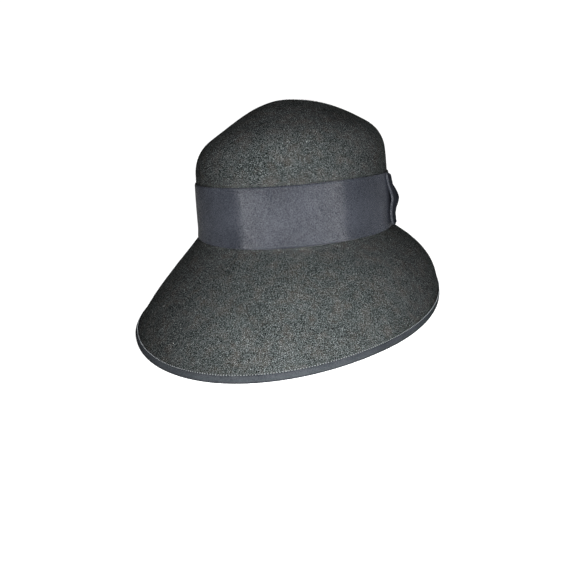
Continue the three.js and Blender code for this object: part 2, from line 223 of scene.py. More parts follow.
@dataclass(frozen=True)
class HatBlock:
    """The blocked felt's shape, from the same sizes as the solids, in millimetres and degrees."""

    head_width: float = 163.0
    head_length: float = 190.0
    felt: float = 2.2
    crown_height: float = 113.0
    shoulder_height: float = 80.0
    shoulder_lean: float = 5.0
    shoulder_rounding: float = 17.0
    tip_slope: float = 31.0
    break_rounding: float = 5.0
    break_rise: float = 6.0
    brim_front: float = 83.0
    brim_side: float = 43.0
    brim_back: float = 30.0
    drop_front: float = 74.0
    drop_back: float = 42.5
    band_width: float = 47.0
    ribbon: float = 1.0
    gap: float = 0.3
    binding_width: float = 2.6
    binding_flat: float = 22.0
    seat: Place = (0.118, 32.082, 55.245)
    shoulder_rows: tuple[ShoulderRow, ...] = (
        ShoulderRow(0, 1.0, 1.0),
        ShoulderRow(60, 1.02, 0.9),
        ShoulderRow(110, 1.03, 0.7),
        ShoulderRow(180, 1.02, 1.0),
        ShoulderRow(240, 0.98, 1.0),
        ShoulderRow(290, 0.92, 0.7),
    )
    brim_rows: tuple[BrimRow, ...] = (
        BrimRow(0, 1, 0, 0, 0, 34, 56),
        BrimRow(40, 0.59, 0.41, 0, 0, 34, 60),
        BrimRow(90, 0, 1, 0, -0.1, 31, 94),
        BrimRow(135, 0, 0.3, 0.75, 0.2, 34, 92),
        BrimRow(180, 0, 0, 1, 0.4, 40, 78),
        BrimRow(225, 0, 0.25, 0.75, 0.7, 44, 70),
        BrimRow(270, 0, 1, 0, 1, 48, 60),
        BrimRow(320, 0.6, 0.4, 0, 0.4, 44, 58),
    )
    wall_curl: float = 0.65
    tip_handles: tuple[float, float] = (0.36, 0.42)
    brim_handle: float = 0.36
    brim_samples: int = 90
    slope_step: float = 0.4

    @property
    def binding_radius(self) -> float:
        """The radius of the binding's outer fold about the middle of the felt's edge."""
        return self.felt / 2 + self.gap + self.ribbon

    @property
    def front_reach(self) -> float:
        """How far the brim reaches in front of the head's middle."""
        return self.head_length / 2 + self.felt + self.brim_front

    @property
    def rim_slope(self) -> float:
        """How much the rim's plane rises for each millimetre towards the back."""
        back_reach = self.head_length / 2 + self.felt + self.brim_back
        return (self.drop_front - self.drop_back) / (self.front_reach + back_reach)

    def rim_height(self, y: np.ndarray) -> np.ndarray:
        """The height of the rim's plane at a distance behind the head's middle."""
        return -self.drop_front + self.rim_slope * (y + self.front_reach)

    def brim(self, column: str, angle: np.ndarray) -> np.ndarray:
        """One column of the brim's table at each angle."""
        return table_curve(self.brim_rows, column, angle)

    def oval(self, angle: np.ndarray) -> np.ndarray:
        """The crown's outside radius at the break.

        Args:
            angle: directions in degrees.

        Returns:
            The radius in each direction.
        """
        across = np.sin(np.radians(angle)) / (self.head_width / 2 + self.felt)
        along = np.cos(np.radians(angle)) / (self.head_length / 2 + self.felt)
        return 1 / np.hypot(across, along)

    def section(self, angle: np.ndarray) -> np.ndarray:
        """The felt's outline in each direction, from the peak to the rim.

        Args:
            angle: directions in degrees, turned from the front towards the wearer's left.

        Returns:
            Radius and height as directions by Level.RIM + 1 by 2.
        """
        foot = self.oval(angle)
        shoulder = self.shoulder_height * table_curve(self.shoulder_rows, "height", angle)
        lean = self.shoulder_lean * table_curve(self.shoulder_rows, "lean", angle)
        rise = self.break_rise * self.brim("rise", angle)
        rounding = self.shoulder_rounding
        curl = self.wall_curl

        def way(below: np.ndarray) -> np.ndarray:
            """The direction that lies this many degrees below level."""
            return np.stack([np.cos(np.radians(below)), -np.sin(np.radians(below))], -1)

        def wall(height: np.ndarray) -> np.ndarray:
            """The point of the leaning wall at a height."""
            share = height / shoulder
            return np.stack([foot - lean * ((1 - curl) * share + curl * share**3), height], -1)

        def walls(top: np.ndarray, bottom: np.ndarray, steps: int) -> np.ndarray:
            """Points down the wall between two heights, without the first."""
            shares = [i / steps for i in range(1, steps + 1)]
            return np.stack([wall(top + (bottom - top) * share) for share in shares], 1)

        tip_way = way(np.full_like(angle, self.tip_slope))
        corner = wall(shoulder)
        wall_top = wall(shoulder - rounding)
        tip_edge = corner - tip_way * rounding
        reach = tip_edge[:, :1]
        level = np.full(len(angle), self.crown_height)
        peak = np.stack([np.zeros(len(angle)), level], -1)
        near, far = self.tip_handles
        peak_handle = np.stack([near * tip_edge[:, 0], level], -1)
        tip = bezier([peak, peak_handle, tip_edge - tip_way * far * reach, tip_edge], Level.TIP_EDGE)
        bend = bezier([tip_edge, corner, wall_top], Level.WALL_TOP - Level.TIP_EDGE)[:, 1:]
        band_top = self.band_width + rise / 2
        break_top = rise + self.break_rounding
        upper = walls(shoulder - rounding, band_top, Level.BAND_TOP - Level.WALL_TOP)
        lower = walls(band_top, break_top, Level.BREAK_TOP - Level.BAND_TOP)

        foot_way = way(self.brim("foot", angle))
        lip_way = way(self.brim("lip", angle))
        start = wall(rise) + foot_way * self.break_rounding
        fillet = bezier([wall(break_top), wall(rise), start], Level.BREAK_END - Level.BREAK_TOP)[:, 1:]

        widths = {"front": self.brim_front, "side": self.brim_side, "back": self.brim_back}
        width = sum(self.brim(name, angle) * size for name, size in widths.items())
        edge = foot + width - self.binding_radius
        height = self.rim_height(-edge * np.cos(np.radians(angle)))
        height = height + self.binding_radius * math.cos(math.radians(self.binding_flat))
        lip_normal = np.stack([-lip_way[:, 1], lip_way[:, 0]], -1)
        end = np.stack([edge, height], -1) + lip_normal * self.felt / 2
        span = np.linalg.norm(end - start, axis=-1, keepdims=True)
        pull = self.brim_handle
        handles = [start, start + foot_way * pull * span, end - lip_way * pull * span, end]
        brim = self.evenly(bezier(handles, self.brim_samples))
        return np.concatenate([tip, bend, upper, lower, fillet, brim], axis=1)

    def evenly(self, slope: np.ndarray) -> np.ndarray:
        """Spaces the brim's samples evenly, with a landmark where the binding's edge lies.

        Args:
            slope: the brim's curve, directions by samples by 2.

        Returns:
            The brim without its first point, as Level.RIM - Level.BREAK_END samples.
        """
        steps = np.linalg.norm(np.diff(slope, axis=1), axis=-1)
        lengths = np.concatenate([np.zeros((len(slope), 1)), np.cumsum(steps, axis=1)], axis=1)
        bare_steps = Level.BINDING_TOP - Level.BREAK_END
        bound_steps = Level.RIM - Level.BINDING_TOP
        above = np.arange(1, bare_steps + 1) / bare_steps
        below = np.arange(1, bound_steps + 1) / bound_steps
        made = []
        for curve, run in zip(slope, lengths):
            bare = run[-1] - self.binding_width
            wanted = np.concatenate([above * bare, bare + below * self.binding_width])
            made.append(np.stack([np.interp(wanted, run, curve[:, k]) for k in (0, 1)], -1))
        return np.array(made)

    def outline(self, angle: np.ndarray) -> np.ndarray:
        """The felt's sections as points in space.

        Args:
            angle: directions in degrees.

        Returns:
            Block points, directions by samples by 3.
        """
        flat = self.section(angle)
        turn = np.radians(angle)[:, None]
        return np.stack([flat[..., 0] * np.sin(turn), -flat[..., 0] * np.cos(turn), flat[..., 1]], -1)

    def skin(self, angle: np.ndarray, level: np.ndarray) -> Skin:
        """The felt's outside at a grid of directions and levels.

        Args:
            angle: directions in degrees.
            level: places along the section, as sample numbers that may fall between two.

        Returns:
            The skin, levels by directions.
        """
        here = self.outline(angle)
        across = self.outline(angle + self.slope_step) - self.outline(angle - self.slope_step)
        down = unit(np.gradient(here, axis=1))
        normal = unit(np.cross(down, across))
        normal[:, 0] = (0.0, 0.0, 1.0)
        low = np.minimum(np.floor(level).astype(int), Level.RIM - 1)
        share = (level - low)[None, :, None]

        def picked(values: np.ndarray) -> np.ndarray:
            """The values between samples, turned to levels by directions."""
            mixed = values[:, low] * (1 - share) + values[:, low + 1] * share
            return np.swapaxes(mixed, 0, 1)

        return Skin(picked(here), unit(picked(normal)), unit(picked(down)))

    def edge_rings(self, rim: Skin, radius: float | np.ndarray, turns: tuple[float, ...]) -> np.ndarray:
        """Rings round the felt's edge.

        Args:
            rim: the felt's outside at the rim, one level.
            radius: the distance from the middle of the felt, one number or one a direction.
            turns: degrees from the outward normal, one a ring.

        Returns:
            Points as rings by directions by 3.
        """
        middle = rim.raised(-self.felt / 2)[0]
        made = []
        for turn in np.radians(turns):
            out = rim.normals[0] * math.cos(turn) + rim.down[0] * math.sin(turn)
            made.append(middle + out * np.reshape(radius, (-1, 1)))
        return np.array(made)

    def placed(self, points: np.ndarray) -> np.ndarray:
        """Leans points back on to the rim and centres them, as one row-frame row in metres for each."""
        turn = np.array(Matrix.Rotation(-math.atan(self.rim_slope), 3, "X"))
        return (points.reshape(-1, 3) @ turn.T + np.array(self.seat)) * MILLIMETRE


def ring_quads(levels: int, columns: int, closed: bool) -> np.ndarray:
    """Quads of a tube of rings whose points run on round the hat.

    Args:
        levels: how many rings there are, from the outside's top down.
        columns: how many points a ring has.
        closed: whether the last ring joins the first.

    Returns:
        Corner numbers, one row a quad, facing out.
    """
    rows = np.arange(levels if closed else levels - 1)
    column = np.arange(columns)
    row, here = np.meshgrid(rows, column, indexing="ij")
    below = (row + 1) % levels
    right = (here + 1) % columns
    top, low = row * columns, below * columns
    return np.stack([top + here, low + here, low + right, top + right], -1).reshape(-1, 4)


def closed_tube(rings: np.ndarray, ends: np.ndarray) -> tuple[np.ndarray, list[list[int]]]:
    """Closes a tube of rings with a fan of triangles at either end.

    Args:
        rings: the tube's points, rings by columns by 3.
        ends: the middle of each fan, the first ring's first.

    Returns:
        All the points, and the corner numbers of each face.
    """
    levels, columns = rings.shape[:2]
    faces = ring_quads(levels, columns, False).tolist()
    first = levels * columns
    last = first - columns
    for i in range(columns):
        j = (i + 1) % columns
        faces.append([first, i, j])
        faces.append([first + 1, last + j, last + i])
    return np.concatenate([rings.reshape(-1, 3), ends]), faces


def read_grid(grid: np.ndarray, row: np.ndarray, column: np.ndarray) -> np.ndarray:
    """Reads a grid of vectors between its four nearest entries.

    Args:
        grid: rows by columns by 3.
        row: places down the rows, which may fall between two.
        column: places along the columns, in the same shape.

    Returns:
        One vector for each place, in the places' shape by 3.
    """
    i, j = np.floor(row).astype(int), np.floor(column).astype(int)
    u, v = (row - i)[..., None], (column - j)[..., None]
    near = grid[i, j] * (1 - v) + grid[i, j + 1] * v
    far = grid[i + 1, j] * (1 - v) + grid[i + 1, j + 1] * v
    return near * (1 - u) + far * u


def add_object(name: str, data: ID) -> Object:
    """Makes an object of its data and puts it in the scene.

    Args:
        name: the object's name.
        data: its mesh, light or camera.

    Returns:
        The new object.
    """
    made = bpy.data.objects.new(name, data)
    bpy.context.scene.collection.objects.link(made)
    return made


def smooth_mesh(
    name: str, points: list[list[float]], faces: list[list[int]], finishes: tuple[Material, ...]
) -> Mesh:
    """Makes one smooth-shaded mesh.

    Args:
        name: the mesh's name.
        points: points in metres.
        faces: corner numbers of each face.
        finishes: its materials, the first one for every face.

    Returns:
        The new mesh.
    """
    mesh = bpy.data.meshes.new(name)
    mesh.from_pydata(points, [], faces)
    mesh.polygons.foreach_set("use_smooth", [True] * len(mesh.polygons))
    for finish in finishes:
        mesh.materials.append(finish)
    mesh.update()
    return mesh


def make_piece(
    name: str, points: np.ndarray, faces: list[list[int]], slot: Slot, *finishes: Material
) -> Object:
    """Makes one smooth-shaded piece that rides on the hat.

    Args:
        name: the piece's name.
        points: row-frame points in metres, one row each.
        faces: corner numbers of each face.
        slot: the piece's slot in the record; not used.
        finishes: its materials, the first one for every face.

    Returns:
        The new object.
    """
    made = add_object(name, smooth_mesh(name, points.tolist(), faces, finishes))
    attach(made, BODY)
    return made


def sheet_faces(rows: int, columns: int, flipped: bool) -> list[list[int]]:
    """Faces of a bent ribbon: two grids of points, its faces, closed round their edges.

    Args:
        rows: points along the ribbon.
        columns: points across it.
        flipped: whether the corners run the other way.

    Returns:
        Corner numbers of each face, for the front grid's points followed by the back's.
    """
    behind = rows * columns
    row, column = np.meshgrid(np.arange(rows - 1), np.arange(columns - 1), indexing="ij")
    a = row * columns + column
    b = a + columns
    front = np.stack([a, b, b + 1, a + 1], -1).reshape(-1, 4)
    back = front[:, [0, 3, 2, 1]] + behind
    i = np.arange(rows - 1) * columns
    j = np.arange(columns - 1)
    far = columns - 1
    last = (rows - 1) * columns
    edges = [
        np.stack([i, i + behind, i + columns + behind, i + columns], -1),
        np.stack([i + columns + far, i + columns + far + behind, i + far + behind, i + far], -1),
        np.stack([j + 1, j + 1 + behind, j + behind, j], -1),
        np.stack([j + last, j + last + behind, j + 1 + last + behind, j + 1 + last], -1),
    ]
    quads = np.concatenate([front, back, *edges])
    if flipped:
        quads = quads[:, ::-1]
    return quads.tolist()


def grey(level: float) -> Colour:
    """A colour without hue."""
    return (level, level, level)


@dataclass(frozen=True)
class FeltFinish:
    """Black wool felt: a matt, slightly mottled nap with paler fibre ends."""

    name: str = "wool_felt"
    dark: Colour = (0.0012, 0.0018, 0.0018)
    pale: Colour = (0.0128, 0.0144, 0.0144)
    tone_stops: Stops = (0.45, 0.55)
    fibre: Colour = (0.105, 0.112, 0.111)
    fibre_stops: Stops = (0.62, 0.7)
    warm: Colour = (0.016, 0.0125, 0.0105)
    warm_share: float = 0.38
    warm_stops: Stops = (0.46, 0.68)
    nap: Grain = Grain(1450.0, 2.0, 0.75)
    coarse: Grain = Grain(652.5, 2.0, 0.6)
    coarse_share: float = 0.2
    blotches: Grain = Grain(38.0, 3.0, 0.55)
    blotch_share: float = 0.12
    ends: Grain = Grain(2465.0, 1.0, 0.5)
    end_share: float = 0.35
    patches: Grain = Grain(120.0, 3.0, 0.6)
    relief: float = 0.00016
    relief_strength: float = 0.85
    roughness: float = 0.92
    gloss: float = 0.005

    def material(self) -> Material:
        """Builds the felt's node material.

        Returns:
            The material.
        """
        nodes = NodeBuilder(self.name)
        grain = nodes.mix_value(nodes.noise(self.nap), nodes.noise(self.coarse), self.coarse_share)
        mottled = nodes.mix_value(grain, nodes.noise(self.blotches), self.blotch_share)
        tone = nodes.ramp(mottled, self.tone_stops, self.dark, self.pale)
        warmth = nodes.ramp(nodes.noise(self.patches), self.warm_stops, grey(0), grey(self.warm_share))
        tone = nodes.mix_colour(warmth, tone, self.warm)
        ends = nodes.noise(self.ends)
        picked = nodes.ramp(ends, self.fibre_stops, grey(0), grey(1))
        nodes.link(nodes.mix_colour(picked, tone, self.fibre), "Base Color")
        nodes.bump(nodes.mix_value(grain, ends, self.end_share), self.relief, self.relief_strength)
        nodes.fixed({"Roughness": self.roughness, "Specular IOR Level": self.gloss})
        return nodes.material


@dataclass(frozen=True)
class RibbonFinish:
    """Navy-black ribbed ribbon, whose yarns run along it and spread the light across its width."""

    name: str = "ribbed_ribbon"
    dark: Colour = (0.0065, 0.0073, 0.0095)
    pale: Colour = (0.0135, 0.0148, 0.0185)
    tone_stops: Stops = (0.42, 0.58)
    yarn: Grain = Grain(1500.0, 2.0, 0.6)
    shade: Grain = Grain(45.0, 2.0, 0.5)
    shade_share: float = 0.3
    relief: float = 0.00005
    relief_strength: float = 0.6
    roughness: float = 0.37
    anisotropy: float = 0.96
    turned: float = 0.25
    gloss: float = 0.1
    glints: float = 0.9
    glint_stops: Stops = (0.4, 0.6)

    def material(self) -> Material:
        """Builds the ribbon's node material.

        Returns:
            The material.
        """
        nodes = NodeBuilder(self.name)
        yarn = nodes.noise(self.yarn)
        mottled = nodes.mix_value(yarn, nodes.noise(self.shade), self.shade_share)
        nodes.link(nodes.ramp(mottled, self.tone_stops, self.dark, self.pale), "Base Color")
        nodes.bump(yarn, self.relief, self.relief_strength)
        dull = grey(self.gloss * (1 - self.glints))
        bright = grey(self.gloss * (1 + self.glints))
        nodes.link(nodes.ramp(yarn, self.glint_stops, dull, bright), "Specular IOR Level")
        around = nodes.add("ShaderNodeTangent")
        around.direction_type = "RADIAL"
        around.axis = "Z"
        nodes.link(around.outputs["Tangent"], "Tangent")
        spread = {"Anisotropic": self.anisotropy, "Anisotropic Rotation": self.turned}
        nodes.fixed({"Roughness": self.roughness, **spread})
        return nodes.material


@dataclass(frozen=True)
class ThreadFinish:
    """A smooth thread or a speck of lint in one colour with a little variation."""

    name: str
    colour: Colour
    twist: Grain = Grain(2400.0, 1.0, 0.5)
    twist_stops: Stops = (0.35, 0.65)
    shaded: float = 0.6
    roughness: float = 0.8
    gloss: float = 0.05

    def material(self) -> Material:
        """Builds the thread's node material.

        Returns:
            The material.
        """
        nodes = NodeBuilder(self.name)
        darker = tuple(self.shaded * part for part in self.colour)
        tone = nodes.ramp(nodes.noise(self.twist), self.twist_stops, darker, self.colour)
        nodes.link(tone, "Base Color")
        nodes.fixed({"Roughness": self.roughness, "Specular IOR Level": self.gloss})
        return nodes.material


@dataclass(frozen=True)
class FloorFinish:
    """The studio's pale paper sweep."""

    name: str = "pale_paper"
    colour: Colour = (0.32, 0.32, 0.32)
    roughness: float = 0.9
    gloss: float = 0.1
    glow: float = 0.9

    def material(self) -> Material:
        """Builds the floor's material, which glows white like a lit table.

        Returns:
            The material.
        """
        nodes = NodeBuilder(self.name)
        nodes.fixed({"Base Color": (*self.colour, 1), "Emission Color": (1, 1, 1, 1)})
        nodes.fixed({"Roughness": self.roughness, "Specular IOR Level": self.gloss})
        nodes.fixed({"Emission Strength": self.glow})
        return nodes.material


class NodeBuilder:
    """Builds one node material around its Principled shader."""

    def __init__(self, name: str) -> None:
        """Starts a material with its shader and output.

        Args:
            name: the material's name.
        """
        self.material = bpy.data.materials.new(name)
        self.material.use_nodes = True
        self.tree = self.material.node_tree
        self.shader = self.tree.nodes["Principled BSDF"]

    def add(self, kind: str) -> Node:
        """Adds one node of a kind."""
        return self.tree.nodes.new(kind)

    def link(self, source: NodeSocket, name: str) -> None:
        """Links a socket to one of the shader's inputs."""
        self.tree.links.new(source, self.shader.inputs[name])

    def fixed(self, values: dict[str, object]) -> None:
        """Sets constant values on the shader's own inputs."""
        for name, value in values.items():
            self.shader.inputs[name].default_value = value

    def noise(self, grain: Grain) -> NodeSocket:
        """Adds a noise texture that lies still on its piece.

        Args:
            grain: the noise's scale, detail and roughness.

        Returns:
            The noise's value.
        """
        made = self.add("ShaderNodeTexNoise")
        for name, value in zip(("Scale", "Detail", "Roughness"), grain):
            made.inputs[name].default_value = value
        place = self.add("ShaderNodeTexCoord")
        self.tree.links.new(place.outputs["Object"], made.inputs["Vector"])
        return made.outputs["Fac"]

    def mix_value(self, first: NodeSocket, second: NodeSocket, share: float) -> NodeSocket:
        """Mixes two values.

        Args:
            first: the value that fills the rest.
            second: the value that takes the share.
            share: the second's share, from 0 to 1.

        Returns:
            The mixed value.
        """
        made = self.add("ShaderNodeMix")
        made.data_type = "FLOAT"
        made.inputs[0].default_value = share
        self.tree.links.new(first, made.inputs[2])
        self.tree.links.new(second, made.inputs[3])
        return made.outputs[0]

    def mix_colour(self, share: NodeSocket, base: NodeSocket, over: Colour) -> NodeSocket:
        """Lays a fixed colour over another.

        Args:
            share: how much of the fixed colour shows at each place.
            base: the colour below.
            over: the fixed colour.

        Returns:
            The mixed colour.
        """
        made = self.add("ShaderNodeMix")
        made.data_type = "RGBA"
        self.tree.links.new(share, made.inputs[0])
        self.tree.links.new(base, made.inputs[6])
        made.inputs[7].default_value = (*over, 1)
        return made.outputs[2]

    def ramp(self, value: NodeSocket, stops: Stops, low: Colour, high: Colour) -> NodeSocket:
        """Turns a value to a colour.

        Args:
            value: the value to read.
            stops: the values that the two colours lie at.
            low: the colour at the lower stop.
            high: the colour at the upper stop.

        Returns:
            The colour.
        """
        made = self.add("ShaderNodeValToRGB")
        for element, place, colour in zip(made.color_ramp.elements, stops, (low, high)):
            element.position = place
            element.color = (*colour, 1)
        self.tree.links.new(value, made.inputs["Fac"])
        return made.outputs["Color"]

    def bump(self, height: NodeSocket, distance: float, strength: float) -> None:
        """Adds relief to the shader's normal.

        Args:
            height: the relief's height, from 0 to 1.
            distance: its depth in metres.
            strength: how much of it shows, from 0 to 1.
        """
        made = self.add("ShaderNodeBump")
        made.inputs["Distance"].default_value = distance
        made.inputs["Strength"].default_value = strength
        self.tree.links.new(height, made.inputs["Height"])
        self.link(made.outputs["Normal"], "Normal")


@dataclass(frozen=True)
class Ribs:
    """The ribbon's cross ribs and the small teeth along its woven edges, in millimetres."""

    pitch: float = 1.15
    depth: float = 0.2
    teeth: float = 0.35
    spots: tuple[float, ...] = (-0.5, -0.4, -0.2, 0.0, 0.2, 0.4)

    def count(self, length: float) -> int:
        """How many whole ribs fit a length."""
        return max(1, round(length / self.pitch))

    def phases(self, length: float) -> np.ndarray:
        """Where the samples lie along a length, counted in ribs, closest beside the grooves."""
        whole = np.arange(self.count(length))[:, None]
        return (whole + 0.5 + np.array(self.spots)[None, :]).ravel()

    def around(self, length: float) -> tuple[np.ndarray, np.ndarray]:
        """The samples of a ribbon that runs all round the hat, as phases in ribs and as degrees."""
        phase = self.phases(length)
        return phase, phase * 360.0 / self.count(length)

    def height(self, phase: np.ndarray) -> np.ndarray:
        """The round rib's height at a phase counted in ribs, never above the ribbon's face."""
        from_crest = np.mod(phase, 1.0) - 0.5
        return -4 * self.depth * from_crest**2

    def tooth(self, phase: np.ndarray) -> np.ndarray:
        """How far the woven edge stands out at a phase counted in ribs."""
        return -self.teeth / 2 * np.cos(2 * math.pi * phase)


@dataclass
class FeltShell:
    """The crown and brim: one shell of felt with a soft, slightly uneven surface."""

    block: HatBlock
    finish: Material
    columns: int = 288
    wave: float = 0.55
    wave_length: float = 42.0
    pebble: float = 0.1
    pebble_length: float = 7.0
    seed: float = 3.7
    band_fade: float = 14.0
    edge_fade: float = 22.0
    edge_turns: tuple[float, ...] = (30, 60, 90, 120, 150)
    peak_levels: tuple[float, ...] = (1.0, 2.0, 4.0, 6.5)
    runs: tuple[Run, ...] = (
        Run(9, Level.TIP_EDGE, 2),
        Run(Level.TIP_EDGE, Level.BAND_TOP, 1.5),
        Run(Level.BAND_TOP, Level.BREAK_TOP, 4),
        Run(Level.BREAK_TOP, Level.BREAK_END, 1.5),
        Run(Level.BREAK_END, Level.BINDING_TOP, 1.75),
        Run(Level.BINDING_TOP, Level.RIM + 1, 2),
    )

    def levels(self) -> np.ndarray:
        """The outside's rows, closer where the felt bends."""
        return np.concatenate([self.peak_levels, *(np.arange(*run) for run in self.runs)])

    def unevenness(self, points: np.ndarray, level: np.ndarray) -> np.ndarray:
        """How far the felt swells or sinks at each point.

        Args:
            points: the skin's points, levels by directions by 3.
            level: the level of each row.

        Returns:
            Millimetres outwards, with nothing under the ribbons.
        """
        to_band = np.minimum(np.abs(level - Level.BAND_TOP), np.abs(level - Level.BREAK_END))
        held = (level >= Level.BAND_TOP) & (level <= Level.BREAK_END)
        free = np.where(held, 0.0, np.clip(to_band / self.band_fade, 0, 1))
        free = smooth_step(free * np.clip((Level.BINDING_TOP - level) / self.edge_fade, 0, 1))
        made = np.zeros(points.shape[:2])
        for i, row in enumerate(points):
            if free[i] <= 0:
                continue
            for j, point in enumerate(row):
                place = Vector(point)
                broad = noise.noise(place / self.wave_length + Vector((self.seed, 0, 0)))
                fine = noise.noise(place / self.pebble_length + Vector((0, self.seed, 0)))
                made[i, j] = free[i] * (self.wave * broad + self.pebble * fine)
        return made

    def build(self) -> Object:
        """Builds the shell with its inside and rounded edge, in place of the plain solid.

        Returns:
            The shell.
        """
        block = self.block
        angle = np.arange(self.columns) * 360.0 / self.columns
        level = self.levels()
        outside = block.skin(angle, level)
        swell = self.unevenness(outside.points, level)
        outer = outside.raised(swell)
        inner_pick = np.concatenate([np.arange(0, len(level) - 1, 2), [len(level) - 1]])[::-1]
        inner = outside.raised(swell - block.felt)[inner_pick]
        rim = block.skin(angle, np.array([float(Level.RIM)]))
        edge = block.edge_rings(rim, block.felt / 2, self.edge_turns)
        top = np.array([[0.0, 0.0, block.crown_height]])
        ends = np.concatenate([top, top - (0, 0, block.felt)])
        points, faces = closed_tube(np.concatenate([outer, edge, inner]), ends)
        made = make_piece("felt_shell", block.placed(points), faces, Slot.FELT, self.finish)
        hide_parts("felt_body")
        return made


@dataclass
class NapFibres:
    """Short wool fibres that lie loose on the felt's outside."""

    block: HatBlock
    finish: Material
    name: str = "nap_fibres"
    count: int = 24000
    longest: float = 1.3
    width: float = 0.11
    arch: float = 0.12
    shortest: float = 0.3
    bend: float = 0.35
    clearance: float = 0.02
    angle_step: float = 3.0
    level_step: float = 2.0
    seed: int = 11

    def build(self) -> Object:
        """Builds every fibre as a thin bent spindle, all in one piece."""
        chance = np.random.default_rng(self.seed)
        return self.spindles(*self.places(chance), chance)

    def places(self, chance: np.random.Generator) -> tuple[np.ndarray, np.ndarray]:
        """Draws each fibre's place by area, clear of the band and the binding.

        Args:
            chance: the source of random numbers.

        Returns:
            The fibres' directions in degrees and their levels.
        """
        grid_angle = np.arange(0, 360, self.angle_step)
        grid_level = np.arange(self.level_step, Level.BINDING_TOP - 1, self.level_step)
        points = self.block.skin(grid_angle, grid_level).points
        beside = np.linalg.norm(np.roll(points, -1, axis=1) - points, axis=-1)
        below = np.linalg.norm(np.gradient(points, axis=0), axis=-1)
        area = beside * below
        covered = (grid_level > Level.BAND_TOP - 2) & (grid_level < Level.BAND_FOOT + 3)
        area[covered] = 0
        cell = chance.choice(area.size, size=self.count, p=(area / area.sum()).ravel())
        row, column = np.divmod(cell, len(grid_angle))
        aside, down = self.angle_step / 2, self.level_step / 2
        angle = grid_angle[column] + chance.uniform(-aside, aside, self.count)
        level = grid_level[row] + chance.uniform(-down, down, self.count)
        return angle, level

    def spindles(self, angle: np.ndarray, level: np.ndarray, chance: np.random.Generator) -> Object:
        """Builds one spindle at each place.

        Args:
            angle: each spindle's direction in degrees.
            level: each spindle's level.
            chance: the source of random numbers.

        Returns:
            The piece that holds them all.
        """
        count = len(angle)
        middle, normal, down = self.frames(angle, level)
        right = np.cross(normal, down)
        turn = chance.uniform(0, 2 * math.pi, count)[:, None]
        along = down * np.cos(turn) + right * np.sin(turn)
        beside = np.cross(normal, along)
        half = self.longest * chance.uniform(self.shortest, 1.0, count)[:, None] / 2
        bend = chance.uniform(-self.bend, self.bend, count)[:, None] * half
        start = middle - along * half - beside * bend + normal * self.clearance
        end = middle + along * half - beside * bend + normal * self.clearance
        crest = middle + normal * self.arch
        points = [start, end]
        for corner in range(3):
            around = math.radians(90 + 120 * corner)
            out = beside * math.cos(around) + normal * math.sin(around)
            points.append(crest + out * self.width / 2)
        faces = []
        for i in range(count):
            first = 5 * i
            for corner in range(3):
                here = first + 2 + corner
                after = first + 2 + (corner + 1) % 3
                faces.append([first, here, after])
                faces.append([first + 1, after, here])
        return make_piece(self.name, self.block.placed(np.stack(points, 1)), faces, Slot.FELT, self.finish)

    def frames(self, angle: np.ndarray, level: np.ndarray) -> tuple[np.ndarray, np.ndarray, np.ndarray]:
        """Reads the skin at scattered places.

        Args:
            angle: directions in degrees.
            level: one level a direction.

        Returns:
            Points, normals and downward directions, one row a place.
        """
        skin = self.block.skin(np.arange(0, 361, 1.0), np.arange(0, Level.RIM, 1.0))
        turned = np.mod(angle, 360.0)
        middle = read_grid(skin.points, level, turned)
        normal = read_grid(skin.normals, level, turned)
        return middle, unit(normal), unit(read_grid(skin.down, level, turned))


@dataclass
class LintSpecks(NapFibres):
    """A few specks of pale lint on the felt."""

    name: str = "lint_specks"
    longest: float = 1.6
    width: float = 0.45
    arch: float = 0.3
    spots: tuple[Spot, ...] = (
        Spot(75, 112),
        Spot(60, 34),
        Spot(312, 58),
        Spot(345, 165),
        Spot(330, 150),
        Spot(28, 48),
    )

    def places(self, chance: np.random.Generator) -> tuple[np.ndarray, np.ndarray]:
        """The specks' own places, as directions and levels."""
        spots = np.array(self.spots, float)
        return spots[:, 0], spots[:, 1]


@dataclass
class CrownBand:
    """The wide ribbon round the foot of the crown, with upright ribs and toothed woven edges."""

    block: HatBlock
    finish: Material
    ribs: Ribs = Ribs(0.7, 0.157, 0.3, (-0.5, -0.44, -0.3, -0.15, 0.0, 0.15, 0.3, 0.44))
    length: float = 560.0
    rows: int = 6
    selvedge: float = 1.0
    thinning: float = 0.25

    def build(self) -> Object:
        """Builds the band, in place of its plain solid.

        Returns:
            The band.
        """
        block = self.block
        phase, angle = self.ribs.around(self.length)
        span = Level.BAND_FOOT - Level.BAND_TOP
        edge_step = self.selvedge / block.band_width * span
        inside_rows = np.linspace(Level.BAND_TOP + edge_step, Level.BAND_FOOT - edge_step, self.rows)
        level = np.concatenate([[Level.BAND_TOP], inside_rows, [Level.BAND_FOOT]]).astype(float)
        skin = block.skin(angle, level)
        face = block.gap + block.ribbon + self.ribs.height(phase)[None, :]
        face = np.repeat(face, len(level), axis=0)
        face[[0, -1]] -= self.thinning
        outer = skin.raised(face)
        tooth = self.ribs.tooth(phase)[:, None]
        outer[0] -= skin.down[0] * tooth
        outer[-1] += skin.down[-1] * tooth
        back = skin.raised(block.gap)[[-1, 0]]
        back[0] += skin.down[-1] * tooth / 2
        back[1] -= skin.down[0] * tooth / 2
        rings = np.concatenate([outer, back])
        faces = ring_quads(len(rings), len(phase), True).tolist()
        made = make_piece("ribbon_band", block.placed(rings), faces, Slot.RIBBON, self.finish)
        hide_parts("crown_band")
        return made


